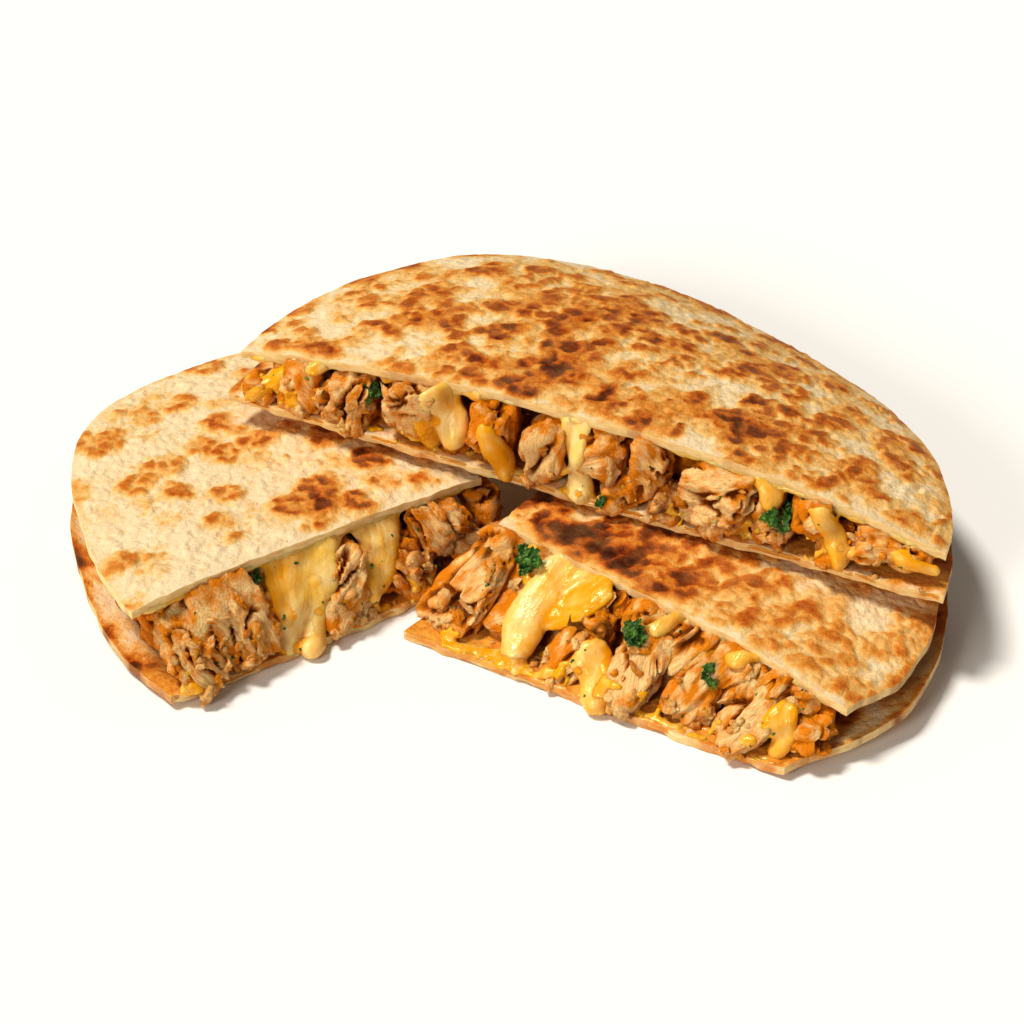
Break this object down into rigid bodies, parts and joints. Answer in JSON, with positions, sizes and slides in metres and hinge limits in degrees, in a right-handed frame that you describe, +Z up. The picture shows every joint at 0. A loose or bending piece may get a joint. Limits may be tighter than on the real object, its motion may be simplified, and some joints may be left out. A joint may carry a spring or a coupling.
{
  "type": "quesadilla",
  "caption": "Toasted chicken and cheese quesadilla cut into a half lying across two quarters, with melted cheese and chopped chicken showing at the cuts.",
  "frame": {"origin": "middle of the footprint, on the table", "axes": "+Z up; +X along the longest side, from the left quarter to the half's right tip; the cut faces open towards -Y"},
  "size_m": [0.2546, 0.2101, 0.0534],
  "materials": {
    "toasted_tortilla": "toasted flour tortilla, cream with brown griddle spots",
    "tortilla_underside": "pale flour tortilla, browned where it met the griddle",
    "chicken": "moist chopped chicken with an orange spiced sauce",
    "melted_cheese": "glossy melted cheese, pale to golden yellow",
    "herb": "fresh chopped parsley leaf",
    "sauce": "thin oily orange sauce"
  },
  "bodies": {
    "root": {"half_bottom_tortilla": "tortilla_underside", "half_chicken": "chicken", "half_cheese": "melted_cheese", "half_top_tortilla": "toasted_tortilla", "left_bottom_tortilla": "tortilla_underside", "left_chicken": "chicken", "left_cheese": "melted_cheese", "left_top_tortilla": "toasted_tortilla", "right_bottom_tortilla": "tortilla_underside", "right_chicken": "chicken", "right_cheese": "melted_cheese", "right_top_tortilla": "toasted_tortilla"}
  },
  "joints": []
}
